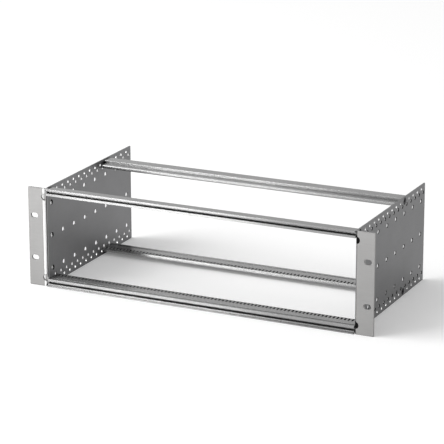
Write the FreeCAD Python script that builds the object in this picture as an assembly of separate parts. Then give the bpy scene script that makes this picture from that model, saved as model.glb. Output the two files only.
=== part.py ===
"""Subrack card cage for a 19-inch rack, three units high, in millimetres.

X runs along the front from left to right, Y runs from the front to the rear and Z runs up.
The origin is at the middle of the footprint, on the surface that the cage stands on.
"""
import FreeCAD
import Part

import math
import os

# Rack standard
rack_width = 482.6
rack_unit_height = 44.45
height_in_units = 3
height_clearance = 0.8
rack_slot_from_end = 8.75
rack_slot_spacing = 57.15
rack_slot_length = 10.3
rack_slot_width = 6.8
card_pitch = 5.08
front_panel_row_spacing = 122.5

# Cage
depth = 235.0

# Side panels
side_thickness = 1.5
side_corner_radius = 1.0
side_setback = 4.2
grid_pitch = 14.8
first_column_from_front = 14.5
outer_row_from_middle = 60.6
outer_row_hole = 3.4
inner_row_from_middle = 54.8
inner_row_hole = 4.8
large_row_from_middle = 44.45
large_hole = 6.2
large_hole_column_count = 2

# Rack brackets
bracket_thickness = 2.5
bracket_width = 24.55
bracket_inner_radius = 0.5
bracket_leg_depth = 27.0
bracket_corner_radius = 1.0
notch_radius = 4.7
notch_from_middle = 54.6
notch_from_side_face = 0.3

# Rail profile, measured back from the slotted face and outwards from the inner surface
rail_inner_from_middle = 56.5
rail_face_setback = 0.9
rail_body_height = 8.1
rail_body_depth = 15.6
rail_flange_depth = 26.7
rail_flange_thickness = 4.4
rail_inner_chamfer = 1.5
rail_outer_chamfer = 1.0
rail_edge_radius = 0.8
rail_slot_width = 3.4
rail_slot_depth = 6.3
rail_lip_thickness = 1.3
rail_lip_depth = 4.0
rail_lip_reach = 2.5
rail_groove_from_face = 3.8
rail_groove_width = 2.4
rail_groove_depth = 0.8
rail_core_hole = 4.4
rail_screw_from_face = 12.0
rear_rail_column_count = 10

# Guide slots, sunk into the rails' inner surfaces
guide_slot_length = 8.0
guide_slot_width = 2.6
guide_slot_depth = 2.0
guide_slot_from_edge = 2.2

# Threaded strips
strip_height = 4.6
strip_thickness = 2.5
strip_clearance = 0.1
strip_end_gap = 0.5
strip_thread = 2.5

# Rail screws
screw_head = 9.2
screw_head_rim = 0.3
screw_shank = 4.2
screw_clearance = 0.1
screw_length = 14.0
screw_socket = 3.0
screw_socket_depth = 1.6

# Bracket rivets
rivet_shank = 4.0
rivet_clearance = 0.1
rivet_head = 7.0
rivet_head_height = 1.4
rivet_tail = 6.2
rivet_tail_height = 1.5

# Derived places
height = height_in_units * rack_unit_height - height_clearance
middle_z = height / 2
lip_proud = rail_lip_reach - rail_face_setback
front_y = -(depth - lip_proud) / 2
rear_y = front_y + depth
side_front_y = front_y + side_setback
first_column_y = front_y + first_column_from_front
side_outer_x = rack_width / 2 - bracket_width
side_inner_x = side_outer_x - side_thickness
inside_width = 2 * side_inner_x
bracket_outer_x = side_outer_x + bracket_thickness
rack_slot_x = rack_width / 2 - rack_slot_from_end
card_positions = int(inside_width / card_pitch)
first_card_x = -(card_positions - 1) / 2 * card_pitch
rail_face_y = front_y + rail_face_setback
rail_inner_z = middle_z - rail_inner_from_middle
strip_from_inner = front_panel_row_spacing / 2 - rail_inner_from_middle
screw_from_inner = outer_row_from_middle - rail_inner_from_middle
front_screw_y = rail_face_y + rail_screw_from_face
rear_screw_y = first_column_y + rear_rail_column_count * grid_pitch
rear_rail_face_y = rear_screw_y + rail_screw_from_face
front_lip_height = rail_inner_z

hexagon_sides = 6
parallel_limit = 1e-6

UP = FreeCAD.Vector(0, 0, 1)
OUT = FreeCAD.Vector(1, 0, 0)
BACK = FreeCAD.Vector(0, 1, 0)


def save(name, shape):
    """Write one named piece."""
    shape.exportStep("parts/" + name + ".step")


def mirrored_left(shape):
    """Return the same piece for the left-hand side."""
    return shape.mirror(FreeCAD.Vector(0, 0, 0), OUT)


def mirrored_down(shape):
    """Return the same piece for the lower half."""
    return shape.mirror(FreeCAD.Vector(0, 0, middle_z), UP)


def both_sides(name, right_shape):
    """Write a right-hand piece and its mirror image."""
    save(name.format("right"), right_shape)
    save(name.format("left"), mirrored_left(right_shape))


def both_levels(name, bottom_shape):
    """Write a lower piece and its mirror image above it."""
    save(name.format("bottom"), bottom_shape)
    save(name.format("top"), mirrored_down(bottom_shape))


def cylinder(x, y, z, diameter, length):
    """Return a round bar that starts at a point and runs outwards along X."""
    return Part.makeCylinder(diameter / 2, length, FreeCAD.Vector(x, y, z), OUT)


def polygon_face(points):
    """Return the flat face inside a closed outline."""
    return Part.Face(Part.makePolygon(points + points[:1]))


def edges_along(shape, direction):
    """Return the straight edges of a shape that run along a direction."""
    lines = [edge for edge in shape.Edges if isinstance(edge.Curve, Part.Line)]
    return [edge for edge in lines if edge.Curve.Direction.cross(direction).Length < parallel_limit]


def levels(distance):
    """Return the two heights that lie a distance below and above the middle."""
    return [middle_z - distance, middle_z + distance]


def side_panel_holes():
    """Return the holes of the side panel's grid as (y, z, diameter)."""
    holes = []
    large_levels = levels(large_row_from_middle) + [middle_z]
    last_column = int((rear_y - large_hole - first_column_y) / grid_pitch)
    for column in range(last_column + 1):
        y = first_column_y + column * grid_pitch
        if column not in (0, rear_rail_column_count):
            holes += [(y, z, outer_row_hole) for z in levels(outer_row_from_middle)]
        if column > 0 and column % large_hole_column_count == 0:
            holes += [(y, z, large_hole) for z in large_levels]
        between_y = y + grid_pitch / 2
        if between_y + inner_row_hole < rear_y:
            holes += [(between_y, z, inner_row_hole) for z in levels(inner_row_from_middle)]
    return holes


def rivet_places():
    """Return the names and heights of the rivets that hold a bracket."""
    low, high = levels(large_row_from_middle)
    return {"bottom": low, "middle": middle_z, "top": high}


def countersunk(x_face, y, z, clearance):
    """Return the space of a flush screw head whose flat top lies on a face that looks outwards."""
    rim_radius = screw_head / 2 + clearance
    shank_radius = screw_shank / 2 + clearance
    cone_height = rim_radius - shank_radius
    rim_start = x_face - screw_head_rim
    rim = cylinder(rim_start, y, z, 2 * rim_radius, screw_head_rim)
    tip = FreeCAD.Vector(rim_start - cone_height, y, z)
    cone = Part.makeCone(shank_radius, rim_radius, cone_height, tip, OUT)
    return rim.fuse(cone)


def screw_hole(x_face, y, z):
    """Return the space of a whole rail screw, with its running clearance."""
    shank_diameter = screw_shank + 2 * screw_clearance
    shank = cylinder(x_face - screw_length, y, z, shank_diameter, screw_length)
    return shank.fuse(countersunk(x_face, y, z, screw_clearance))


def side_panel():
    """Return the right side panel, a flat sheet with its grid of round holes."""
    corner = FreeCAD.Vector(side_inner_x, side_front_y, 0)
    sheet = Part.makeBox(side_thickness, rear_y - side_front_y, height, corner)
    sheet = sheet.makeFillet(side_corner_radius, edges_along(sheet, OUT))
    cuts = [cylinder(side_inner_x, y, z, size, side_thickness) for y, z, size in side_panel_holes()]
    rivet_hole = rivet_shank + 2 * rivet_clearance
    for z in rivet_places().values():
        cuts.append(cylinder(side_inner_x, first_column_y, z, rivet_hole, side_thickness))
    for z in levels(outer_row_from_middle):
        cuts.append(screw_hole(side_outer_x, front_screw_y, z))
        cuts.append(screw_hole(side_outer_x, rear_screw_y, z))
    return sheet.cut(cuts)


def bracket_profile():
    """Return the bent section of the right bracket, seen from above."""
    outer_bend = bracket_inner_radius + bracket_thickness
    x_in = side_outer_x
    x_leg = bracket_outer_x
    x_end = rack_width / 2
    y_plate = front_y + bracket_thickness
    y_end = front_y + bracket_leg_depth
    half = math.sqrt(0.5)

    def at(x, y):
        return FreeCAD.Vector(x, y, 0)

    outer_centre = at(x_in + outer_bend, front_y + outer_bend)
    outer_middle = outer_centre + at(-half * outer_bend, -half * outer_bend)
    inner_middle = outer_centre + at(-half * bracket_inner_radius, -half * bracket_inner_radius)
    edges = [
        Part.makeLine(at(x_in, y_end), at(x_in, front_y + outer_bend)),
        Part.Arc(
            at(x_in, front_y + outer_bend), outer_middle, at(x_in + outer_bend, front_y)
        ).toShape(),
        Part.makeLine(at(x_in + outer_bend, front_y), at(x_end, front_y)),
        Part.makeLine(at(x_end, front_y), at(x_end, y_plate)),
        Part.makeLine(at(x_end, y_plate), at(x_in + outer_bend, y_plate)),
        Part.Arc(
            at(x_in + outer_bend, y_plate), inner_middle, at(x_leg, front_y + outer_bend)
        ).toShape(),
        Part.makeLine(at(x_leg, front_y + outer_bend), at(x_leg, y_end)),
        Part.makeLine(at(x_leg, y_end), at(x_in, y_end)),
    ]
    return Part.Face(Part.Wire(edges))


def rack_slot(x, z):
    """Return the space of one slot for a rack screw, a round-ended slot that lies along X."""
    half_straight = (rack_slot_length - rack_slot_width) / 2
    radius = rack_slot_width / 2
    start = FreeCAD.Vector(x - half_straight, front_y, z - radius)
    slot = Part.makeBox(2 * half_straight, bracket_thickness, rack_slot_width, start)
    for end_x in (x - half_straight, x + half_straight):
        end_point = FreeCAD.Vector(end_x, front_y, z)
        slot = slot.fuse(Part.makeCylinder(radius, bracket_thickness, end_point, BACK))
    return slot


def beyond_leg():
    """Return the spaces below and above the bracket's leg, which ends in the middle of a notch."""
    bend_end = front_y + bracket_inner_radius + bracket_thickness
    end_height = middle_z - notch_from_middle
    spaces = []
    for low in (0, height - end_height):
        corner = FreeCAD.Vector(side_outer_x, bend_end, low)
        spaces.append(Part.makeBox(bracket_thickness, bracket_leg_depth, end_height, corner))
    return spaces


def rack_bracket():
    """Return the right rack bracket, a bent angle with slots, corner notches and fixing holes."""
    angle = bracket_profile().extrude(UP * height)
    across_plate = edges_along(angle, BACK)
    plate_edges = [edge for edge in across_plate if edge.CenterOfMass.x > rack_slot_x]
    angle = angle.makeFillet(bracket_corner_radius, plate_edges)
    cuts = [rack_slot(rack_slot_x, z) for z in levels(rack_slot_spacing / 2)]
    for z in levels(notch_from_middle):
        centre = FreeCAD.Vector(side_outer_x + notch_from_side_face, front_y, z)
        cuts.append(Part.makeCylinder(notch_radius, bracket_thickness, centre, BACK))
    rivet_hole = rivet_shank + 2 * rivet_clearance
    for z in rivet_places().values():
        cuts.append(cylinder(side_outer_x, first_column_y, z, rivet_hole, bracket_thickness))
    return angle.cut(cuts + beyond_leg())


def strip_groove():
    """Return the height and depth of the groove that a threaded strip slides into."""
    return strip_height + 2 * strip_clearance, strip_thickness + 2 * strip_clearance


def rail_outline(lip_height):
    """Return a rail's outline as (back from the face, out from the inner surface) points."""
    slot_low = strip_from_inner - rail_slot_width / 2
    slot_high = strip_from_inner + rail_slot_width / 2
    groove_height, groove_depth = strip_groove()
    groove_low = strip_from_inner - groove_height / 2
    groove_high = strip_from_inner + groove_height / 2
    groove_end = rail_slot_depth + groove_depth
    shallow_end = rail_groove_from_face + rail_groove_width
    outline = [
        (0, 0),
        (0, slot_low),
        (rail_slot_depth, slot_low),
        (rail_slot_depth, groove_low),
        (groove_end, groove_low),
        (groove_end, groove_high),
        (rail_slot_depth, groove_high),
        (rail_slot_depth, slot_high),
        (0, slot_high),
    ]
    if lip_height > rail_body_height:
        outline += [
            (0, lip_height - rail_lip_thickness),
            (-rail_lip_reach, lip_height - rail_lip_thickness),
            (-rail_lip_reach, lip_height),
            (rail_lip_depth - rail_lip_reach, lip_height),
            (rail_lip_depth - rail_lip_reach, rail_body_height),
        ]
    else:
        outline += [(0, rail_body_height)]
    outline += [
        (rail_body_depth, rail_body_height),
        (rail_body_depth, rail_flange_thickness),
        (rail_flange_depth - rail_outer_chamfer, rail_flange_thickness),
        (rail_flange_depth, rail_flange_thickness - rail_outer_chamfer),
        (rail_flange_depth, rail_inner_chamfer),
        (rail_flange_depth - rail_inner_chamfer, 0),
        (shallow_end, 0),
        (shallow_end, rail_groove_depth),
        (rail_groove_from_face, rail_groove_depth),
        (rail_groove_from_face, 0),
    ]
    return outline


def lower_rail(face_y, towards, lip_height):
    """Return a lower rail between the side panels.

    face_y is the place of its slotted face, and towards is 1 where the rail runs back from that
    face and -1 where it runs forward from it.
    """

    def at(back, out, x=-side_inner_x):
        return FreeCAD.Vector(x, face_y + towards * back, rail_inner_z - out)

    section = polygon_face([at(back, out) for back, out in rail_outline(lip_height)])
    rail = section.extrude(OUT * inside_width)
    outer_edge = at(rail_body_depth, rail_body_height, 0)
    long_edges = edges_along(rail, OUT)
    rounded = [edge for edge in long_edges if edge.CenterOfMass.isEqual(outer_edge, parallel_limit)]
    rail = rail.makeFillet(rail_edge_radius, rounded)
    screw_y = face_y + towards * rail_screw_from_face
    screw_z = rail_inner_z - screw_from_inner
    core = cylinder(-side_inner_x, screw_y, screw_z, rail_core_hole, inside_width)
    slot_back = rail_flange_depth - guide_slot_from_edge - guide_slot_length / 2
    slots = []
    for position in range(card_positions):
        x = first_card_x + position * card_pitch - guide_slot_width / 2
        near = slot_back - towards * guide_slot_length / 2
        start = at(near, guide_slot_depth, x)
        slots.append(Part.makeBox(guide_slot_width, guide_slot_length, guide_slot_depth, start))
    rail = rail.cut([core] + slots)
    right_end = countersunk(side_outer_x, screw_y, screw_z, screw_clearance)
    return rail.cut([right_end, mirrored_left(right_end)])


def threaded_strip():
    """Return the lower threaded strip, which lies in the groove behind the rail's slot."""
    length = inside_width - 2 * strip_end_gap
    y = rail_face_y + rail_slot_depth + strip_clearance
    row_z = middle_z - front_panel_row_spacing / 2
    start = FreeCAD.Vector(-length / 2, y, row_z - strip_height / 2)
    strip = Part.makeBox(length, strip_thickness, strip_height, start)
    holes = []
    for position in range(card_positions):
        centre = FreeCAD.Vector(first_card_x + position * card_pitch, y, row_z)
        holes.append(Part.makeCylinder(strip_thread / 2, strip_thickness, centre, BACK))
    return strip.cut(holes)


def rail_screw(x_face, y, z):
    """Return one countersunk rail screw with a hexagon socket, on the right-hand side."""
    shank = cylinder(x_face - screw_length, y, z, screw_shank, screw_length - screw_head_rim)
    screw = shank.fuse(countersunk(x_face, y, z, 0))
    corner_radius = screw_socket / 2 / math.cos(math.pi / hexagon_sides)
    corners = []
    for corner in range(hexagon_sides):
        angle = 2 * math.pi * corner / hexagon_sides
        offset = FreeCAD.Vector(0, corner_radius * math.cos(angle), corner_radius * math.sin(angle))
        corners.append(FreeCAD.Vector(x_face - screw_socket_depth, y, z) + offset)
    return screw.cut(polygon_face(corners).extrude(OUT * screw_socket_depth)).removeSplitter()


def dome(x, diameter, dome_height, z, direction):
    """Return a shallow dome that stands on a plane across X."""
    radius = (diameter * diameter / 4 + dome_height * dome_height) / (2 * dome_height)
    centre = FreeCAD.Vector(x + direction * (dome_height - radius), first_column_y, z)
    ball = Part.makeSphere(radius, centre)
    base = FreeCAD.Vector(x, first_column_y, z)
    keep = Part.makeCylinder(diameter / 2, dome_height, base, OUT * direction)
    return ball.common(keep)


def bracket_rivet(z):
    """Return one rivet through the right side panel and bracket, with its domed head inside."""
    grip = side_thickness + bracket_thickness
    shank = cylinder(side_inner_x, first_column_y, z, rivet_shank, grip)
    head = dome(side_inner_x, rivet_head, rivet_head_height, z, -1)
    tail = dome(bracket_outer_x, rivet_tail, rivet_tail_height, z, 1)
    return shank.fuse([head, tail]).removeSplitter()


def main():
    """Build and write every piece."""
    os.makedirs("parts", exist_ok=True)
    both_sides("side_panel_{}", side_panel())
    both_sides("rack_bracket_{}", rack_bracket())
    both_levels("front_rail_{}", lower_rail(rail_face_y, 1, front_lip_height))
    both_levels("rear_rail_{}", lower_rail(rear_rail_face_y, -1, rail_body_height))
    both_levels("threaded_strip_{}", threaded_strip())
    screw_levels = dict(zip(("bottom", "top"), levels(outer_row_from_middle)))
    for level, z in screw_levels.items():
        both_sides("rail_screw_front_" + level + "_{}", rail_screw(side_outer_x, front_screw_y, z))
        both_sides("rail_screw_rear_" + level + "_{}", rail_screw(side_outer_x, rear_screw_y, z))
    for level, z in rivet_places().items():
        both_sides("bracket_rivet_" + level + "_{}", bracket_rivet(z))


main()
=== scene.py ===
"""Looks of the subrack card cage: its finishes, detailed fasteners, floor, light and camera.

The panels, brackets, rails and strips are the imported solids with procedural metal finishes. The screws and
rivets are modelled again here with rounded edges, sockets and threads, each in the place of its solid. All
sizes are in metres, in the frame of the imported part.
"""

import logging
import math
from dataclasses import dataclass, replace
from enum import Enum

import bmesh
import bpy
from mathutils import Matrix, Vector


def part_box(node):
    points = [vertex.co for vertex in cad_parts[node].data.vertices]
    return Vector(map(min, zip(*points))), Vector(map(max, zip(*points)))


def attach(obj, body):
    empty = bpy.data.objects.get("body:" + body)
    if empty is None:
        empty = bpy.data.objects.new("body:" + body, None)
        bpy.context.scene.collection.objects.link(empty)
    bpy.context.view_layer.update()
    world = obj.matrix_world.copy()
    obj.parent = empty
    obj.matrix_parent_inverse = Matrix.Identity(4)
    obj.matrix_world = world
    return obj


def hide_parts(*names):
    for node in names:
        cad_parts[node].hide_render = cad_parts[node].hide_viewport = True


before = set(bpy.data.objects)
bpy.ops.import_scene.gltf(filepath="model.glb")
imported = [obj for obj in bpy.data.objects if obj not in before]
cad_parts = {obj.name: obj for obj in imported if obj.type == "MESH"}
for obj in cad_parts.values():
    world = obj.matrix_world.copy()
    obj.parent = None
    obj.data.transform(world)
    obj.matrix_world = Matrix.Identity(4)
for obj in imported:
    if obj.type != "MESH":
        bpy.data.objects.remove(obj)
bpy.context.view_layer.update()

log = logging.getLogger("card_cage")

Colour = tuple[float, float, float]
Span = tuple[float, float]
Socket = bpy.types.NodeSocket

MM = 0.001
BODY = "root"

# Two points closer than this are welded into one.
WELD_DISTANCE = 1e-7

# The values between which most of a noise pattern lies.
NOISE_SPAN: Span = (0.3, 0.7)

# The detail of the patterns that need few finer layers.
PLAIN_DETAIL = 2.0

# How far the rounded normal agrees with the face's on an edge, and how far beside it.
EDGE_SPAN: Span = (0.8, 0.995)

BEVEL_SAMPLES = 4
OPENNESS_SAMPLES = 8

# A surface that faces an axis less squarely than this is a wall along it.
WALL_LIMIT = 0.5

# A quarter turn, which lays the wide side of a reflection across the grain.
ACROSS_GRAIN = 0.25

# Tints that hold back the bright reflections at grazing angles, on metal and on the rivets' painted shade.
GRAZING_TINT = (0.7, 0.7, 0.7, 1.0)
PAINTED_SHADE_TINT = (0.3, 0.3, 0.3, 1.0)


class Axis(Enum):
    """A direction of the part's own frame."""

    X = 0
    Y = 1
    Z = 2

    def vector(self) -> Vector:
        """Return the axis as a unit vector.

        Returns:
            The vector.
        """
        direction = Vector((0.0, 0.0, 0.0))
        direction[self.value] = 1.0
        return direction


class Side(Enum):
    """The left or the right half of the cage, seen from the front."""

    LEFT = "left"
    RIGHT = "right"

    @property
    def sign(self) -> float:
        """Return -1 on the left and 1 on the right."""
        return -1.0 if self is Side.LEFT else 1.0


class Level(Enum):
    """The height at which a piece sits in the cage."""

    BOTTOM = "bottom"
    MIDDLE = "middle"
    TOP = "top"


class Pattern(Enum):
    """How far each noise pattern is shifted, so that no two patterns of a finish agree."""

    MAIN = 0.0
    CLOUDS = 1.3
    SPECKS = 2.9
    FINE = 3.7
    SAWN = 5.1


class ShaderTree:
    """A node material that is being put together."""

    def __init__(self, name: str) -> None:
        """Make a material with a plain surface.

        Args:
            name: The material's name.
        """
        self.material = bpy.data.materials.new(name)
        self.material.use_nodes = True
        self.nodes = self.material.node_tree.nodes
        self.links = self.material.node_tree.links
        self.nodes.clear()
        output = self.nodes.new("ShaderNodeOutputMaterial")
        self.surface = self.nodes.new("ShaderNodeBsdfPrincipled")
        self.links.new(self.surface.outputs["BSDF"], output.inputs["Surface"])
        self.coordinates = self.nodes.new("ShaderNodeTexCoord").outputs["Object"]

    def feed(self, target: Socket, value: Socket | float) -> None:
        """Link a socket to an input, or set the input to a number.

        Args:
            target: The input.
            value: A socket or a number.
        """
        if isinstance(value, bpy.types.NodeSocket):
            self.links.new(value, target)
        else:
            target.default_value = value

    def noise(self, pattern: Pattern, size: Vector, detail: float) -> Socket:
        """Add a noise pattern in the part's own coordinates.

        Args:
            pattern: Which pattern it is.
            size: The pattern's size along X, Y and Z.
            detail: How many finer layers the noise has.

        Returns:
            The pattern's value, from 0 to 1.
        """
        mapping = self.nodes.new("ShaderNodeMapping")
        mapping.inputs["Scale"].default_value = [1.0 / length for length in size]
        mapping.inputs["Location"].default_value = [pattern.value] * 3
        texture = self.nodes.new("ShaderNodeTexNoise")
        texture.inputs["Scale"].default_value = 1.0
        texture.inputs["Detail"].default_value = detail
        self.links.new(self.coordinates, mapping.inputs["Vector"])
        self.links.new(mapping.outputs["Vector"], texture.inputs["Vector"])
        return texture.outputs["Fac"]

    def combine(self, operation: str, first: Socket | float, second: Socket | float = 0.0) -> Socket:
        """Add a sum on two values.

        Args:
            operation: The sum, by the math node's own name for it.
            first: A socket or a number.
            second: A socket or a number.

        Returns:
            The result.
        """
        node = self.nodes.new("ShaderNodeMath")
        node.operation = operation
        self.feed(node.inputs[0], first)
        self.feed(node.inputs[1], second)
        return node.outputs["Value"]

    def times(self, first: Socket | float, second: Socket | float) -> Socket:
        """Multiply two values.

        Args:
            first: A socket or a number.
            second: A socket or a number.

        Returns:
            The product.
        """
        return self.combine("MULTIPLY", first, second)

    def spread(self, value: Socket, low: float, high: float, span: Span = NOISE_SPAN) -> Socket:
        """Map a span of values to a range.

        Args:
            value: The value.
            low: The result where the value is at or under the span's start.
            high: The result where the value is at or over the span's end.
            span: The span's start and end.

        Returns:
            The mapped value.
        """
        node = self.nodes.new("ShaderNodeMapRange")
        node.inputs["From Min"].default_value, node.inputs["From Max"].default_value = span
        node.inputs["To Min"].default_value = low
        node.inputs["To Max"].default_value = high
        self.links.new(value, node.inputs["Value"])
        return node.outputs["Result"]

    def blend(self, amount: Socket, first: Socket | Colour, second: Socket | Colour) -> Socket:
        """Mix two colours.

        Args:
            amount: 0 for the first colour and 1 for the second.
            first: A colour or a colour socket.
            second: A colour or a colour socket.

        Returns:
            The mixed colour.
        """
        node = self.nodes.new("ShaderNodeMix")
        node.data_type = "RGBA"
        self.links.new(amount, node.inputs["Factor"])
        for name, value in (("A", first), ("B", second)):
            target = next(s for s in node.inputs if s.name == name and s.type == "RGBA")
            self.feed(target, value if isinstance(value, bpy.types.NodeSocket) else (*value, 1.0))
        return next(s for s in node.outputs if s.type == "RGBA")

    def agreement(self, direction: Socket | Vector) -> Socket:
        """Compare the surface's own normal with a direction.

        Args:
            direction: A unit vector, or a socket that gives one.

        Returns:
            1 where they agree, 0 where they are square to each other, and -1 where they are opposed.
        """
        geometry = self.nodes.new("ShaderNodeNewGeometry")
        dot = self.nodes.new("ShaderNodeVectorMath")
        dot.operation = "DOT_PRODUCT"
        self.links.new(geometry.outputs["True Normal"], dot.inputs[0])
        self.feed(dot.inputs[1], direction)
        return dot.outputs["Value"]

    def facing(self, axis: Axis) -> Socket:
        """Return how squarely the surface faces along an axis, either way.

        Args:
            axis: The axis.

        Returns:
            A value from 0 to 1.
        """
        return self.combine("ABSOLUTE", self.agreement(axis.vector()))

    def rubbed_edge(self, radius: float) -> tuple[Socket, Socket]:
        """Add the rounding of an edge.

        Args:
            radius: The edge's radius.

        Returns:
            The rounded normal, and a value that is 1 on an edge and 0 away from it.
        """
        rounding = self.nodes.new("ShaderNodeBevel")
        rounding.samples = BEVEL_SAMPLES
        rounding.inputs["Radius"].default_value = radius
        normal = rounding.outputs["Normal"]
        return normal, self.spread(self.agreement(normal), 1.0, 0.0, EDGE_SPAN)

    def openness(self, reach: float) -> Socket:
        """Return how open a place is.

        Args:
            reach: How far off a wall still counts.

        Returns:
            A value from 0 deep in a cleft to 1 on a plain face.
        """
        node = self.nodes.new("ShaderNodeAmbientOcclusion")
        node.samples = OPENNESS_SAMPLES
        node.inputs["Distance"].default_value = reach
        return node.outputs["AO"]

    def along(self, axis: Axis) -> Socket:
        """Return an axis as a direction for the grain.

        Args:
            axis: The axis.

        Returns:
            The direction.
        """
        direction = self.nodes.new("ShaderNodeCombineXYZ")
        direction.inputs[axis.value].default_value = 1.0
        return direction.outputs["Vector"]

    def position(self, axis: Axis) -> Socket:
        """Return a place's coordinate along an axis.

        Args:
            axis: The axis.

        Returns:
            The coordinate.
        """
        node = self.nodes.new("ShaderNodeSeparateXYZ")
        self.links.new(self.coordinates, node.inputs["Vector"])
        return node.outputs[axis.value]

    def offset(self, axis: Axis, middle: float) -> Socket:
        """Return a place's distance along an axis from a middle plane.

        Args:
            axis: The axis.
            middle: Where the middle plane lies along it.

        Returns:
            The distance, never negative.
        """
        return self.combine("ABSOLUTE", self.combine("SUBTRACT", self.position(axis), middle))

    def within(self, axis: Axis, middle: float, reach: float) -> Socket:
        """Return whether a place is near a middle plane.

        Args:
            axis: The axis.
            middle: Where the middle plane lies along it.
            reach: How far from it still counts.

        Returns:
            1 where the place is within reach, and 0 elsewhere.
        """
        return self.combine("LESS_THAN", self.offset(axis, middle), reach)

    def bump(self, height: Socket, depth: float, normal: Socket) -> Socket:
        """Add relief.

        Args:
            height: The pattern that raises the surface.
            depth: How far the pattern raises it.
            normal: The normal that the relief starts from.

        Returns:
            The normal with the relief.
        """
        node = self.nodes.new("ShaderNodeBump")
        node.inputs["Strength"].default_value = 1.0
        node.inputs["Distance"].default_value = depth
        self.links.new(height, node.inputs["Height"])
        self.links.new(normal, node.inputs["Normal"])
        return node.outputs["Normal"]


def toned(colour: Colour, factor: float) -> Colour:
    """Make a colour lighter or darker.

    Args:
        colour: The colour.
        factor: Over 1 for lighter and under 1 for darker.

    Returns:
        The new colour.
    """
    return tuple(min(1.0, channel * factor) for channel in colour)


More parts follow.
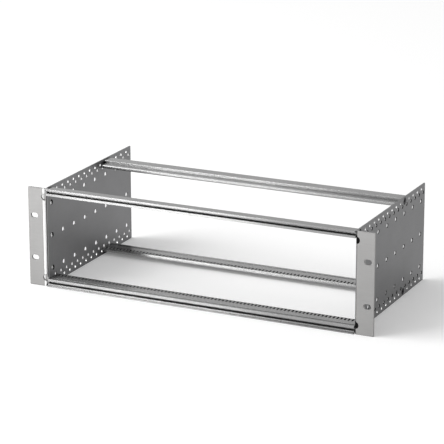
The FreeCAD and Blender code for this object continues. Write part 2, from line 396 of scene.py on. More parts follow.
@dataclass(frozen=True)
class GrainedMetal:
    """Bare or anodised metal with a grain along one direction, cloudy tone and rubbed edges.

    Clefts are shallow corners and gaps, which get a little painted shade. Hollows are deep ones, such as a
    rail's slot, which are painted nearly black as shade that lets out hardly any light. A finish with a sheet
    also paints shade on the walls of that side panel's holes row by row, with a highlight painted in the
    outer rows. One with pockets has painted shade behind the right bracket's notches, and one with a bend
    highlight has a painted highlight along a bracket's bend.
    """

    name: str
    colour: Colour
    edge_colour: Colour
    roughness: float
    grain: Axis
    roughness_change: float = 0.03
    tone_change: float = 0.05
    tone_span: Span = (0.35, 0.65)
    cloud_size: float = 38.0 * MM
    cloud_share: float = 0.5
    grain_width: float = 0.35 * MM
    grain_length: float = 22.0 * MM
    grain_depth: float = 0.004 * MM
    grain_detail: float = 3.0
    fine_scale: float = 0.35
    fine_relief: float = 0.6
    stretch: float = 0.6
    edge_radius: float = 0.25 * MM
    # Painted shade: corners and gaps within the cleft reach are painted darker, down to this share of the
    # colour.
    cleft_reach: float = 3.0 * MM
    cleft_span: Span = (0.15, 0.75)
    painted_cleft_shade: float = 0.35
    # Painted shade: deep hollows such as a rail's slot are painted nearly black and made rough, standing in
    # for the shade inside them.
    hollow_reach: float = 8.0 * MM
    hollow_span: Span = (0.25, 0.5)
    hollow_painted_shade: Colour = (0.02, 0.02, 0.02)
    hollow_roughness: float = 0.9
    sheet: str = ""
    outline_margin: float = 2.0 * MM
    # Painted shade on the holes' walls, darkest in the right panel's inner rows, and a painted highlight in
    # the outer rows.
    bore_painted_shade: Colour = (0.16, 0.16, 0.16)
    inner_row_from: float = 50.0 * MM
    inner_row_painted_shade: Colour = (0.16, 0.16, 0.16)
    outer_row_from: float = 57.7 * MM
    outer_row_painted_highlight: Colour = (0.78, 0.78, 0.78)
    # Painted shade: pockets behind the right bracket's notches are painted nearly black.
    pockets: tuple[tuple[float, float], ...] = ()
    pocket_radius: float = 4.75 * MM
    pocket_start: float = 0.4 * MM
    pocket_end: float = 7.0 * MM
    # Painted highlight: a near-white stripe along a bracket's bend, where light would catch it.
    bend_painted_highlight: Colour | None = None
    bend_span: Span = (0.03, 0.12)
    sawn_ends: bool = False
    sawn_span: Span = (0.9, 0.99)
    sawn_size: tuple[float, float, float] = (1.0, 0.25 * MM, 9.0 * MM)
    sawn_roughness: float = 0.12
    sawn_relief: float = 3.0

    def material(self) -> bpy.types.Material:
        """Build the finish.

        Returns:
            The node material.
        """
        tree = ShaderTree(self.name)
        size = Vector((self.grain_width,) * 3)
        size[self.grain.value] = self.grain_length
        streaks = tree.noise(Pattern.MAIN, size, self.grain_detail)
        fine = tree.noise(Pattern.FINE, size * self.fine_scale, PLAIN_DETAIL)
        rounded, edge = tree.rubbed_edge(self.edge_radius)
        # Painted shade: the deep hollows, such as a rail's slot.
        hollow_shade_mask = tree.spread(tree.openness(self.hollow_reach), 1.0, 0.0, self.hollow_span)
        colour = tree.blend(edge, self.tone(tree, streaks), self.edge_colour)
        # Painted shade: corners and gaps are painted darker.
        cleft = tree.spread(tree.openness(self.cleft_reach), 0.0, 1.0, self.cleft_span)
        colour = tree.blend(cleft, toned(self.colour, self.painted_cleft_shade), colour)
        # Painted highlight along the bend.
        if self.bend_painted_highlight:
            colour = tree.blend(self.bend(tree), colour, self.bend_painted_highlight)
        # Painted shade and painted highlight on the side panel's hole walls, row by row; the highlighted
        # walls lose the hollows' painted shade.
        if self.sheet:
            walls = self.hole_walls(tree)
            wall_painted_shade_and_highlight, bright = self.row_painted_shade_and_highlight(tree)
            colour = tree.blend(walls, colour, wall_painted_shade_and_highlight)
            hollow_shade_mask = tree.times(hollow_shade_mask, tree.combine("SUBTRACT", 1.0, tree.times(walls, bright)))
        # Painted shade behind the right bracket's notches.
        if self.pockets:
            hollow_shade_mask = tree.combine("MAXIMUM", hollow_shade_mask, self.inside_painted_shade_pockets(tree))
        # Painted shade: the hollows, the shaded hole walls and the pockets are painted nearly black.
        colour = tree.blend(hollow_shade_mask, colour, self.hollow_painted_shade)
        roughness = tree.spread(fine, self.roughness - self.roughness_change,
                                self.roughness + self.roughness_change)
        roughness = tree.combine("MAXIMUM", roughness, tree.times(hollow_shade_mask, self.hollow_roughness))
        relief = tree.combine("ADD", streaks, tree.times(fine, self.fine_relief))
        if self.sawn_ends:
            end_face = tree.spread(tree.facing(self.grain), 0.0, 1.0, self.sawn_span)
            sawn = tree.noise(Pattern.SAWN, Vector(self.sawn_size), PLAIN_DETAIL)
            roughness = tree.combine("ADD", roughness, tree.times(end_face, self.sawn_roughness))
            marks = tree.times(tree.times(end_face, sawn), self.sawn_relief)
            relief = tree.combine("ADD", relief, marks)
        tree.links.new(colour, tree.surface.inputs["Base Color"])
        tree.links.new(roughness, tree.surface.inputs["Roughness"])
        tree.links.new(tree.bump(relief, self.grain_depth, rounded), tree.surface.inputs["Normal"])
        tree.links.new(tree.along(self.grain), tree.surface.inputs["Tangent"])
        tree.surface.inputs["Anisotropic Rotation"].default_value = ACROSS_GRAIN
        tree.surface.inputs["Anisotropic"].default_value = self.stretch
        tree.surface.inputs["Specular Tint"].default_value = GRAZING_TINT
        tree.surface.inputs["Metallic"].default_value = 1.0
        return tree.material

    def tone(self, tree: ShaderTree, streaks: Socket) -> Socket:
        """Return the colour of a plain face, which changes along the grain and with slow clouds.

        Args:
            tree: The material.
            streaks: The pattern of the grain.

        Returns:
            The colour.
        """
        clouds = tree.noise(Pattern.CLOUDS, Vector((self.cloud_size,) * 3), PLAIN_DETAIL)
        mixed = tree.combine("ADD", tree.times(streaks, 1.0 - self.cloud_share),
                             tree.times(clouds, self.cloud_share))
        dark = toned(self.colour, 1.0 - self.tone_change)
        light = toned(self.colour, 1.0 + self.tone_change)
        return tree.blend(tree.spread(mixed, 0.0, 1.0, self.tone_span), dark, light)

    def hole_walls(self, tree: ShaderTree) -> Socket:
        """Find the walls of a side panel's holes.

        Args:
            tree: The material.

        Returns:
            1 on the holes' walls, and 0 on the panel's faces and outline.
        """
        low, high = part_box(self.sheet)
        inside = tree.combine("LESS_THAN", tree.facing(Axis.X), WALL_LIMIT)
        for axis in (Axis.Y, Axis.Z):
            middle = (low[axis.value] + high[axis.value]) / 2
            reach = (high[axis.value] - low[axis.value]) / 2 - self.outline_margin
            inside = tree.times(inside, tree.within(axis, middle, reach))
        return inside

    def row_painted_shade_and_highlight(self, tree: ShaderTree) -> tuple[Socket, Socket]:
        """Paint shade and highlights on the holes' walls, by their rows.

        Args:
            tree: The material.

        Returns:
            The walls' painted colour, and a value that is 1 in the outer rows, whose walls get a painted
            highlight.
        """
        low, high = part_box(self.sheet)
        from_middle = tree.offset(Axis.Z, (low.z + high.z) / 2)
        inner = tree.combine("GREATER_THAN", from_middle, self.inner_row_from)
        outer = tree.combine("GREATER_THAN", from_middle, self.outer_row_from)
        colour = tree.blend(inner, self.bore_painted_shade, self.inner_row_painted_shade)
        return tree.blend(outer, colour, self.outer_row_painted_highlight), outer

    def inside_painted_shade_pockets(self, tree: ShaderTree) -> Socket:
        """Find the pockets behind the right bracket's notches, where shade is painted dark.

        Args:
            tree: The material.

        Returns:
            1 in the pockets, and 0 elsewhere.
        """
        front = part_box("rack_bracket_right")[0].y
        half = (self.pocket_end - self.pocket_start) / 2
        found = None
        for x, z in self.pockets:
            across = tree.combine("POWER", tree.offset(Axis.X, x), 2.0)
            up = tree.combine("POWER", tree.offset(Axis.Z, z), 2.0)
            near = tree.combine("LESS_THAN", tree.combine("ADD", across, up), self.pocket_radius ** 2)
            found = near if found is None else tree.combine("MAXIMUM", found, near)
        return tree.times(found, tree.within(Axis.Y, front + self.pocket_start + half, half))

    def bend(self, tree: ShaderTree) -> Socket:
        """Find the round of a bend between two legs along X and Y.

        Args:
            tree: The material.

        Returns:
            1 on the bend, and 0 on the flat legs.
        """
        slanted = tree.times(tree.facing(Axis.X), tree.facing(Axis.Y))
        return tree.spread(slanted, 0.0, 1.0, self.bend_span)


@dataclass(frozen=True)
class PlatedSteel:
    """Steel with a thin, slightly mottled plating, and another tone where an edge is rubbed.

    A finish with thread rows has a thread's relief in the holes at those heights. One with a painted shade
    colour has that painted shade on what doesn't face the front, within a distance of the cage's middle
    plane.
    """

    name: str
    colour: Colour
    edge_colour: Colour
    metallic: float
    roughness: float
    slot: str = ""
    smoother: float = 0.05
    rougher: float = 0.07
    specular_level: float = 0.5
    tone_change: float = 0.15
    mottle_size: float = 1.4 * MM
    mottle_detail: float = 4.0
    mottle_depth: float = 0.006 * MM
    speck_scale: float = 0.2
    edge_radius: float = 0.12 * MM
    edge_least: float = 0.2
    # Painted shade: corners and gaps within the cleft reach are painted darker, down to this share of the
    # colour.
    cleft_reach: float = 2.5 * MM
    cleft_span: Span = (0.1, 0.6)
    painted_cleft_shade: float = 0.2
    thread_rows: tuple[float, ...] = ()
    thread_pitch: float = 0.45 * MM
    thread_reach: float = 1.4 * MM
    thread_depth: float = 0.12 * MM
    # Painted shade: the half of a head that doesn't face the front is painted nearly black and made rough.
    painted_shade_colour: Colour | None = None
    shaded_roughness: float = 0.9
    shaded_span: Span = (-0.34, -0.26)
    shaded_within: float = 0.0

    def material(self) -> bpy.types.Material:
        """Build the finish.

        Returns:
            The node material.
        """
        tree = ShaderTree(self.name)
        mottle = tree.noise(Pattern.MAIN, Vector((self.mottle_size,) * 3), self.mottle_detail)
        specks = tree.noise(Pattern.SPECKS, Vector((self.mottle_size * self.speck_scale,) * 3), PLAIN_DETAIL)
        rounded, edge = tree.rubbed_edge(self.edge_radius)
        dark = toned(self.colour, 1.0 - self.tone_change)
        light = toned(self.colour, 1.0 + self.tone_change)
        colour = tree.blend(tree.spread(mottle, 0.0, 1.0), dark, light)
        rubbed = tree.times(edge, tree.spread(specks, self.edge_least, 1.0))
        colour = tree.blend(rubbed, colour, self.edge_colour)
        # Painted shade: corners and gaps are painted darker.
        cleft = tree.spread(tree.openness(self.cleft_reach), 0.0, 1.0, self.cleft_span)
        colour = tree.blend(cleft, toned(self.colour, self.painted_cleft_shade), colour)
        roughness = tree.spread(specks, self.roughness - self.smoother, self.roughness + self.rougher)
        # Painted shade on the half that doesn't face the front.
        if self.painted_shade_colour:
            shaded = tree.spread(tree.agreement(Axis.Y.vector()), 0.0, 1.0, self.shaded_span)
            shaded = tree.times(shaded, tree.within(Axis.X, 0.0, self.shaded_within))
            colour = tree.blend(shaded, colour, self.painted_shade_colour)
            roughness = tree.combine("MAXIMUM", roughness, tree.times(shaded, self.shaded_roughness))
            tree.surface.inputs["Specular Tint"].default_value = PAINTED_SHADE_TINT
        normal = tree.bump(specks, self.mottle_depth, rounded)
        if self.thread_rows:
            normal = tree.bump(self.thread_waves(tree), self.thread_depth, normal)
        tree.links.new(colour, tree.surface.inputs["Base Color"])
        tree.links.new(roughness, tree.surface.inputs["Roughness"])
        tree.links.new(normal, tree.surface.inputs["Normal"])
        tree.surface.inputs["Metallic"].default_value = self.metallic
        tree.surface.inputs["Specular IOR Level"].default_value = self.specular_level
        return tree.material

    def thread_waves(self, tree: ShaderTree) -> Socket:
        """Add the turns of a thread to the walls of the tapped holes.

        Args:
            tree: The material.

        Returns:
            The relief of the thread, which is flat away from the rows of holes.
        """
        turns = tree.times(tree.position(Axis.Y), 2 * math.pi / self.thread_pitch)
        near_row = None
        for height in self.thread_rows:
            inside = tree.within(Axis.Z, height, self.thread_reach)
            near_row = inside if near_row is None else tree.combine("MAXIMUM", near_row, inside)
        wall = tree.combine("LESS_THAN", tree.facing(Axis.Y), WALL_LIMIT)
        return tree.times(tree.combine("SINE", turns), tree.times(wall, near_row))


PANEL_SHEET = GrainedMetal(
    name="passivated_sheet", colour=(0.215, 0.215, 0.218), edge_colour=(0.34, 0.34, 0.345), roughness=0.42,
    grain=Axis.Y, sheet="side_panel_left",
)
# The right panel's hole walls get darker painted shade.
RIGHT_PANEL_SHEET = replace(
    PANEL_SHEET, name="passivated_sheet_right", sheet="side_panel_right", bore_painted_shade=(0.08, 0.08, 0.08),
    inner_row_painted_shade=(0.01, 0.01, 0.01),
)
BRACKET_SHEET = GrainedMetal(
    name="anodised_plate", colour=(0.318, 0.315, 0.312), edge_colour=(0.45, 0.45, 0.45), roughness=0.45,
    grain=Axis.X, grain_depth=0.002 * MM, stretch=0.15,
)
# The left bracket has a painted highlight along its bend.
BEND_HIGHLIGHT_BRACKET = replace(BRACKET_SHEET, name="anodised_plate_painted_bend_highlight", bend_painted_highlight=(0.95, 0.95, 0.95))
RAIL_EXTRUSION = GrainedMetal(
    name="anodised_extrusion", colour=(0.34, 0.34, 0.34), edge_colour=(0.45, 0.45, 0.45), roughness=0.26,
    grain=Axis.X, grain_width=0.22 * MM, grain_length=120.0 * MM, grain_depth=0.0008 * MM,
    roughness_change=0.015, stretch=1.0, sawn_ends=True,
)
ZINC_STRIP = PlatedSteel(
    name="zinc_plating", colour=(0.50, 0.50, 0.50), edge_colour=(0.65, 0.65, 0.65), metallic=1.0,
    roughness=0.34,
)
# The rivets' inner heads get painted shade on their rear half.
NICKEL_RIVET = PlatedSteel(
    name="nickel_plating", slot="rivet_steel", colour=(0.90, 0.90, 0.89), edge_colour=(0.95, 0.95, 0.94),
    metallic=1.0, roughness=0.22, mottle_depth=0.001 * MM, painted_shade_colour=(0.01, 0.01, 0.01),
)
BLACK_SCREW = PlatedSteel(
    name="black_plating", slot="screw_black", colour=(0.008, 0.008, 0.009), edge_colour=(0.05, 0.05, 0.05),
    metallic=0.0, roughness=0.5, specular_level=0.15,
)


def dress(node: str, material: bpy.types.Material) -> None:
    """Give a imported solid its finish.

    Args:
        node: The solid's name.
        material: Its finish.
    """
    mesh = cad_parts[node].data
    mesh.materials.clear()
    mesh.materials.append(material)
    log.info("%s wears %s", node, material.name)


def middle_of(element: bmesh.types.BMVert | bmesh.types.BMEdge | bmesh.types.BMFace) -> tuple[float, ...]:
    """Find the middle of a part of a shape.

    Args:
        element: A point, an edge or a face.

    Returns:
        The middle of its points.
    """
    points = [element] if isinstance(element, bmesh.types.BMVert) else list(element.verts)
    return tuple(sum((point.co for point in points), Vector((0.0, 0.0, 0.0))) / len(points))


def settle_order(shape: bmesh.types.BMesh) -> None:
    """Put a shape's points, edges and faces in an order that is the same in each run.

    Args:
        shape: The shape. Spinning and bridging leave its parts in an order that changes.
    """
    for elements in (shape.verts, shape.edges, shape.faces):
        for rank, element in enumerate(sorted(elements, key=middle_of)):
            element.index = rank
        elements.sort()


def new_piece(name: str, shape: bmesh.types.BMesh, material: bpy.types.Material,
              node: str) -> bpy.types.Object:
    """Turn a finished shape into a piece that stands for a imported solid.

    Args:
        name: The piece's name.
        shape: The shape, in its place. It is freed.
        material: The piece's finish.
        node: The solid that the piece stands for.

    Returns:
        The new object.
    """
    settle_order(shape)
    mesh = bpy.data.meshes.new(name)
    shape.to_mesh(mesh)
    shape.free()
    mesh.materials.append(material)
    piece = bpy.data.objects.new(name, mesh)
    bpy.context.scene.collection.objects.link(piece)
    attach(piece, BODY)
    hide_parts(node)
    log.info("%s: %d faces, stands for %s", name, len(mesh.polygons), node)
    return piece


def turned(profile: list[tuple[float, float]], steps: int) -> bmesh.types.BMesh:
    """Spin a half outline round the X axis.

    Args:
        profile: Points (x, radius) from one end of the piece to the other. An end at radius 0 is closed.
        steps: How many steps make the full turn.

    Returns:
        The shape, centred on the X axis.
    """
    shape = bmesh.new()
    points = [shape.verts.new((x, 0.0, radius)) for x, radius in profile]
    edges = [shape.edges.new(pair) for pair in zip(points, points[1:])]
    bmesh.ops.spin(shape, geom=points + edges, cent=(0.0, 0.0, 0.0), axis=(1.0, 0.0, 0.0),
                   angle=2 * math.pi, steps=steps, use_merge=True, use_normal_flip=False, use_duplicate=False)
    bmesh.ops.remove_doubles(shape, verts=shape.verts, dist=WELD_DISTANCE)
    bmesh.ops.recalc_face_normals(shape, faces=shape.faces)
    return shape


def arc(centre: tuple[float, float], radius: float, start: float, end: float,
        count: int) -> list[tuple[float, float]]:
    """Lay points along an arc of a half outline.

    Args:
        centre: The arc's centre as (x, radius).
        radius: The arc's own radius.
        start: The angle of the first point, in degrees from +X towards the outside.
        end: The angle of the last point.
        count: How many steps the arc has.

    Returns:
        The points as (x, radius).
    """
    angles = [math.radians(start + (end - start) * step / count) for step in range(count + 1)]
    return [(centre[0] + radius * math.cos(a), centre[1] + radius * math.sin(a)) for a in angles]


def smooth(shape: bmesh.types.BMesh, sharp_angle: float) -> None:
    """Shade a shape smooth, apart from its sharp edges.

    Args:
        shape: The shape.
        sharp_angle: Edges that turn by more than this many degrees stay sharp.
    """
    for face in shape.faces:
        face.smooth = True
    for edge in shape.edges:
        edge.smooth = len(edge.link_faces) == 2 and edge.calc_face_angle(0.0) < math.radians(sharp_angle)


def seat(shape: bmesh.types.BMesh, side: Side, place: Vector) -> None:
    """Move a shape that was made for the right side to its place.

    Args:
        shape: The shape, made round the X axis.
        side: Its side of the cage. On the left, the shape is turned round.
        place: Where its origin goes.
    """
    turn = Matrix.Rotation(math.pi if side is Side.LEFT else 0.0, 4, "Z")
    bmesh.ops.transform(shape, matrix=Matrix.Translation(place) @ turn, verts=shape.verts)


@dataclass
class SheetMetal:
    """The two side panels and the two rack brackets."""

    left_panel_finish: GrainedMetal = PANEL_SHEET
    right_panel_finish: GrainedMetal = RIGHT_PANEL_SHEET
    left_bracket_finish: GrainedMetal = BEND_HIGHLIGHT_BRACKET
    right_bracket_finish: GrainedMetal = BRACKET_SHEET
    notch_from_middle: float = 54.6 * MM
    notch_from_side_face: float = 0.3 * MM

    def build(self) -> None:
        """Dress the panels and the brackets."""
        low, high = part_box("side_panel_right")
        middle = (low.z + high.z) / 2
        notch_x = high.x + self.notch_from_side_face
        notches = ((notch_x, middle - self.notch_from_middle), (notch_x, middle + self.notch_from_middle))
        dress("side_panel_left", self.left_panel_finish.material())
        dress("rack_bracket_left", self.left_bracket_finish.material())
        # The right panel and bracket get painted shade behind the notches.
        dress("side_panel_right", replace(self.right_panel_finish, pockets=notches).material())
        dress("rack_bracket_right", replace(self.right_bracket_finish, pockets=notches).material())


@dataclass
class Rails:
    """The four rails and the threaded strips in the front pair."""

    rail_finish: GrainedMetal = RAIL_EXTRUSION
    strip_finish: PlatedSteel = ZINC_STRIP

    def build(self) -> None:
        """Dress the rails and the strips."""
        rail = self.rail_finish.material()
        rows = []
        for level in (Level.BOTTOM, Level.TOP):
            low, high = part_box(f"threaded_strip_{level.value}")
            rows.append((low.z + high.z) / 2)
            dress(f"front_rail_{level.value}", rail)
            dress(f"rear_rail_{level.value}", rail)
        strip = replace(self.strip_finish, thread_rows=tuple(rows)).material()
        for level in (Level.BOTTOM, Level.TOP):
            dress(f"threaded_strip_{level.value}", strip)


@dataclass
class RailScrew:
    """One countersunk screw with a hexagon socket and a rolled thread."""

    end: str
    level: Level
    side: Side
    crest_radius: float = 2.1 * MM
    core_radius: float = 1.72 * MM
    tip_share: float = 0.6
    thread_pitch: float = 0.8 * MM
    ridge_half: float = 0.42
    crest_half: float = 0.15
    root_sink: float = 0.05 * MM
    head_rim: float = 0.3 * MM
    edge_round: float = 0.12 * MM
    edge_steps: int = 2
    socket_across: float = 3.0 * MM
    socket_depth: float = 1.6 * MM
    socket_bevel: float = 0.15 * MM
    socket_sides: int = 6
    steps: int = 36
    sharp_angle: float = 35.0

    @property
    def node(self) -> str:
        """Return the name of the screw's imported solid."""
        return f"rail_screw_{self.end}_{self.level.value}_{self.side.value}"

    @property
    def socket_corner(self) -> float:
        """Return the radius of the socket's corners."""
        return self.socket_across / 2 / math.cos(math.pi / self.socket_sides)

    def cone_end(self, head_radius: float) -> float:
        """Return where the head's cone meets the shank.

        Args:
            head_radius: The head's radius.

        Returns:
            The place along the screw, whose head ends at 0.
        """
        return -self.head_rim - (head_radius - self.crest_radius)

    def outline(self, length: float, head_radius: float) -> list[tuple[float, float]]:
        """Draw the half outline from the socket's mouth over the head to the tip.

        Args:
            length: The screw's length.
            head_radius: The head's radius.

        Returns:
            The points as (x, radius).
        """
        rim = self.edge_round
        cone_end = self.cone_end(head_radius)
        return [
            (0.0, self.socket_corner + self.socket_bevel),
            (0.0, head_radius - rim),
            *arc((-rim, head_radius - rim), rim, 45.0, 90.0, self.edge_steps),
            (-self.head_rim, head_radius),
            (cone_end, self.crest_radius),
            (cone_end - self.edge_round, self.core_radius),
            (-length + self.thread_pitch, self.core_radius),
            (-length, self.core_radius * self.tip_share),
            (-length, 0.0),
        ]

    def socket(self, shape: bmesh.types.BMesh) -> None:
        """Sink the hexagon socket into the open mouth of the head.

        Args:
            shape: The turned screw, open at its mouth.
        """
        mouth = [e for e in shape.edges if e.is_boundary]
        bmesh.ops.create_circle(shape, cap_ends=False, segments=self.socket_sides, radius=self.socket_corner,
                                matrix=Matrix.Rotation(math.radians(90), 4, "Y"))
        hexagon = [e for e in shape.edges if e.is_wire]
        bmesh.ops.subdivide_edges(shape, edges=hexagon, cuts=self.steps // self.socket_sides - 1)
        ring = [e for e in shape.edges if e.is_wire]
        ring_verts = [v for v in shape.verts if v.is_wire]
        bmesh.ops.translate(shape, vec=(-self.socket_bevel, 0.0, 0.0), verts=ring_verts)
        bmesh.ops.bridge_loops(shape, edges=mouth + ring)
        rim = [e for e in shape.edges if e.is_boundary]
        walls = bmesh.ops.extrude_edge_only(shape, edges=rim)
        floor_verts = [v for v in walls["geom"] if isinstance(v, bmesh.types.BMVert)]
        bmesh.ops.translate(shape, vec=(-self.socket_depth + self.socket_bevel, 0.0, 0.0), verts=floor_verts)
        bmesh.ops.holes_fill(shape, edges=[e for e in shape.edges if e.is_boundary], sides=0)

    def thread(self, shape: bmesh.types.BMesh, start: float, end: float) -> None:
        """Wind the thread's ridge round the shank.

        Args:
            shape: The screw.
            start: Where the thread starts, behind the head.
            end: Where it ends, before the tip.
        """
        half = self.thread_pitch * self.ridge_half
        crest = half * self.crest_half
        root_radius = self.core_radius - self.root_sink
        turns = int((start - end - 2 * half) / self.thread_pitch)
        first = start - half
        ridge = ((half, root_radius), (crest, self.crest_radius),
                 (-crest, self.crest_radius), (-half, root_radius))
        face = shape.faces.new([shape.verts.new((first + dx, 0.0, radius)) for dx, radius in ridge])
        steps = turns * self.steps // 2
        bmesh.ops.spin(shape, geom=[face], cent=(first, 0.0, 0.0), axis=(1.0, 0.0, 0.0),
                       dvec=(-self.thread_pitch * turns / steps, 0.0, 0.0), angle=2 * math.pi * turns,
                       steps=steps, use_merge=False, use_normal_flip=False, use_duplicate=False)

    def build(self, material: bpy.types.Material) -> bpy.types.Object:
        """Model the screw in its place.

        Args:
            material: The screw's finish.

        Returns:
            The screw.
        """
        low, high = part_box(self.node)
        head_radius = (high.z - low.z) / 2
        length = high.x - low.x
        shape = turned(self.outline(length, head_radius), self.steps)
        self.socket(shape)
        self.thread(shape, self.cone_end(head_radius) - self.edge_round, -length + self.thread_pitch)
        bmesh.ops.recalc_face_normals(shape, faces=shape.faces)
        smooth(shape, self.sharp_angle)
        head_x = self.side.sign * max(abs(low.x), abs(high.x))
        seat(shape, self.side, Vector((head_x, (low.y + high.y) / 2, (low.z + high.z) / 2)))
        return new_piece(f"{self.node}_detailed", shape, material, self.node)


@dataclass
class BracketRivet:
    """One rivet that holds a rack bracket, with a domed head inside the cage and a closed head outside."""

    level: Level
    side: Side
    shank_radius: float = 2.0 * MM
    head_radius: float = 3.5 * MM
    head_height: float = 1.4 * MM
    head_rim: float = 0.25 * MM
    tail_radius: float = 3.1 * MM
    tail_height: float = 1.5 * MM
    tail_rim: float = 0.35 * MM
    dimple_radius: float = 0.9 * MM
    dimple_depth: float = 0.25 * MM
    dome_steps: int = 9
    steps: int = 40
    sharp_angle: float = 40.0

    @property
    def node(self) -> str:
        """Return the name of the rivet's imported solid."""
        return f"bracket_rivet_{self.level.value}_{self.side.value}"

    def dome(self, radius: float, height: float, rim: float, seat_x: float,
             outwards: float) -> list[tuple[float, float]]:
        """Draw a dome's half outline from its crown to its seat.

        Args:
            radius: The dome's radius at its seat.
            height: The dome's whole height.
            rim: The height of its upright rim.
            seat_x: Where it sits, along the rivet.
            outwards: 1 where the dome points along +X, and -1 where it points the other way.

        Returns:
            The points as (x, radius).
        """
        rise = height - rim
        ball = (radius * radius + rise * rise) / (2 * rise)
        half_angle = math.degrees(math.asin(radius / ball))
        centre = seat_x + outwards * (height - ball)
        crown = arc((0.0, 0.0), ball, 0.0, half_angle, self.dome_steps)
        return [(centre + outwards * x, r) for x, r in crown] + [(seat_x, radius)]

    def dimpled(self, outline: list[tuple[float, float]]) -> list[tuple[float, float]]:
        """Press a dimple into the crown of the closed head.

        Args:
            outline: The head's half outline.

        Returns:
            The half outline with the dimple.
        """
        points = []
        for x, radius in outline:
            depth = self.dimple_depth * max(0.0, 1.0 - (radius / self.dimple_radius) ** 2)
            points.append((x - depth, radius))
        return points

    def build(self, material: bpy.types.Material) -> bpy.types.Object:
        """Model the rivet in its place.

        Args:
            material: The rivet's finish.

        Returns:
            The rivet.
        """
        low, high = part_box(self.node)
        inner = min(abs(low.x), abs(high.x)) + self.head_height
        outer = max(abs(low.x), abs(high.x)) - self.tail_height
        tail = self.dome(self.tail_radius, self.tail_height, self.tail_rim, outer, 1.0)
        head = self.dome(self.head_radius, self.head_height, self.head_rim, inner, -1.0)
        shank = [(outer, self.shank_radius), (inner, self.shank_radius)]
        shape = turned(self.dimpled(tail) + shank + head[::-1], self.steps)
        smooth(shape, self.sharp_angle)
        seat(shape, self.side, Vector((0.0, (low.y + high.y) / 2, (low.z + high.z) / 2)))
        return new_piece(f"{self.node}_detailed", shape, material, self.node)


@dataclass
class Fasteners:
    """All the screws and rivets of the cage."""

    ends: tuple[str, str] = ("front", "rear")

    def build(self) -> None:
        """Model every screw and rivet."""
        black = BLACK_SCREW.material()
        side_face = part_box("side_panel_right")[1].x
        nickel = replace(NICKEL_RIVET, shaded_within=side_face).material()
        for side in Side:
            for end in self.ends:
                for level in (Level.BOTTOM, Level.TOP):
                    RailScrew(end, level, side).build(black)
            for level in Level:
                BracketRivet(level, side).build(nickel)


@dataclass(frozen=True)
class Softbox:
    """A rectangular lamp."""

    name: str
    place: tuple[float, float, float]
    aim: tuple[float, float, float]
    width: float
    height: float
    power: float

    def hang(self) -> None:
        """Hang the lamp in its place."""
        lamp = bpy.data.lights.new(self.name, "AREA")
        lamp.shape = "RECTANGLE"
        lamp.size = self.width
        lamp.size_y = self.height
        lamp.energy = self.power
        holder = bpy.data.objects.new(self.name, lamp)
        holder.location = self.place
        direction = Vector(self.aim) - Vector(self.place)
        holder.rotation_euler = direction.to_track_quat("-Z", "Y").to_euler()
        bpy.context.scene.collection.objects.link(holder)


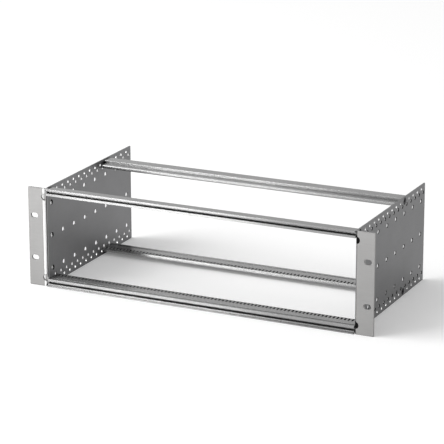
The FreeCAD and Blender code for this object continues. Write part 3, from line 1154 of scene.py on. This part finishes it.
@dataclass
class Studio:
    """A plain white floor under soft light.

    The key lamp lights the cage from the upper left. The low one is small and close, and gives the rails'
    front faces their bright middle.
    """

    floor_half: float = 14.0
    floor_segments: int = 4
    floor_colour: Colour = (0.93, 0.93, 0.93)
    floor_seen_colour: Colour = (0.92, 0.92, 0.92)
    floor_glow: float = 0.16
    key: Softbox = Softbox("key", (-3.8, -2.2, 3.8), (0.0, 0.0, 0.06), 3.8, 3.8, 190.0)
    low: Softbox = Softbox("low", (-0.645, -1.30, 0.20), (-0.07, -0.12, 0.08), 0.37, 0.34, 4.3)
    dome_low: float = 0.3
    dome_high: float = 0.85
    dome_span: Span = (-0.6, 1.0)
    dome_towards: tuple[float, float, float] = (-0.75, -0.35, 0.55)
    backdrop: float = 1.0

    @staticmethod
    def seen(nodes: bpy.types.Nodes, links: bpy.types.NodeLinks) -> Socket:
        """Tell the rays that show a surface from those that light it.

        Args:
            nodes: The nodes of the material or the world.
            links: The links between them.

        Returns:
            1 for rays that show a surface, straight, mirrored or through glass, and 0 for the others.
        """
        path = nodes.new("ShaderNodeLightPath")
        total = path.outputs["Is Camera Ray"]
        for name in ("Is Glossy Ray", "Is Transmission Ray"):
            either = nodes.new("ShaderNodeMath")
            either.operation = "MAXIMUM"
            links.new(total, either.inputs[0])
            links.new(path.outputs[name], either.inputs[1])
            total = either.outputs["Value"]
        return total

    def floor(self) -> None:
        """Lay the floor."""
        shape = bmesh.new()
        bmesh.ops.create_grid(shape, x_segments=self.floor_segments, y_segments=self.floor_segments,
                              size=self.floor_half)
        mesh = bpy.data.meshes.new("floor")
        shape.to_mesh(mesh)
        shape.free()
        floor = bpy.data.objects.new("floor", mesh)
        bpy.context.scene.collection.objects.link(floor)
        tree = ShaderTree("pale_floor")
        seen = self.seen(tree.nodes, tree.links)
        colour = tree.blend(seen, self.floor_colour, self.floor_seen_colour)
        glow = tree.times(seen, self.floor_glow)
        tree.links.new(colour, tree.surface.inputs["Base Color"])
        tree.links.new(glow, tree.surface.inputs["Emission Strength"])
        tree.surface.inputs["Emission Color"].default_value = (1.0, 1.0, 1.0, 1.0)
        tree.surface.inputs["Roughness"].default_value = 1.0
        tree.surface.inputs["Specular IOR Level"].default_value = 0.0
        mesh.materials.append(tree.material)

    def dome(self) -> None:
        """Surround the scene with soft light that is brighter towards one side, seen as a white backdrop."""
        world = bpy.data.worlds.new("studio")
        bpy.context.scene.world = world
        world.use_nodes = True
        nodes, links = world.node_tree.nodes, world.node_tree.links
        direction = nodes.new("ShaderNodeTexCoord").outputs["Generated"]
        dot = nodes.new("ShaderNodeVectorMath")
        dot.operation = "DOT_PRODUCT"
        dot.inputs[1].default_value = Vector(self.dome_towards).normalized()
        level = nodes.new("ShaderNodeMapRange")
        level.interpolation_type = "SMOOTHSTEP"
        level.inputs["From Min"].default_value, level.inputs["From Max"].default_value = self.dome_span
        level.inputs["To Min"].default_value = self.dome_low
        level.inputs["To Max"].default_value = self.dome_high
        shown = nodes.new("ShaderNodeMix")
        shown.inputs["B"].default_value = self.backdrop
        links.new(direction, dot.inputs[0])
        links.new(dot.outputs["Value"], level.inputs["Value"])
        links.new(self.seen(nodes, links), shown.inputs["Factor"])
        links.new(level.outputs["Result"], shown.inputs["A"])
        links.new(shown.outputs["Result"], nodes["Background"].inputs["Color"])

    def build(self) -> None:
        """Set up the floor and the light."""
        self.floor()
        self.key.hang()
        self.low.hang()
        self.dome()
        log.info("studio is lit")


@dataclass
class PhotographCamera:
    """A camera with the photograph's viewing angle and frame. Its angles are in degrees."""

    azimuth: float = 25.588
    elevation: float = 16.986
    roll: float = -0.112
    place: tuple[float, float, float] = (1.20914, -2.56494, 0.94970)
    picture_width: float = 444.0
    focal_pixels: float = 2282.6
    sensor_width: float = 36.0
    clip_end: float = 100.0

    def build(self) -> bpy.types.Object:
        """Set up the camera.

        Returns:
            The camera.
        """
        data = bpy.data.cameras.new("camera")
        data.sensor_width = self.sensor_width
        data.sensor_fit = "HORIZONTAL"
        data.lens = self.focal_pixels / self.picture_width * self.sensor_width
        data.clip_end = self.clip_end
        azimuth, elevation = math.radians(self.azimuth), math.radians(self.elevation)
        back = Vector((math.sin(azimuth) * math.cos(elevation), -math.cos(azimuth) * math.cos(elevation),
                       math.sin(elevation)))
        level_right = Axis.Z.vector().cross(back).normalized()
        rotation = Matrix((level_right, back.cross(level_right), back)).transposed()
        roll = Matrix.Rotation(math.radians(self.roll), 3, "Z")
        camera = bpy.data.objects.new("camera", data)
        camera.matrix_world = Matrix.Translation(self.place) @ (rotation @ roll).to_4x4()
        bpy.context.scene.collection.objects.link(camera)
        bpy.context.scene.camera = camera
        return camera


def main() -> None:
    """Dress the cage, model its fasteners and set up the studio."""
    logging.basicConfig(level=logging.INFO, format="%(message)s")
    bpy.context.scene.view_settings.view_transform = "Standard"
    PhotographCamera().build()
    SheetMetal().build()
    Rails().build()
    Fasteners().build()
    Studio().build()


if __name__ == "__main__":
    main()
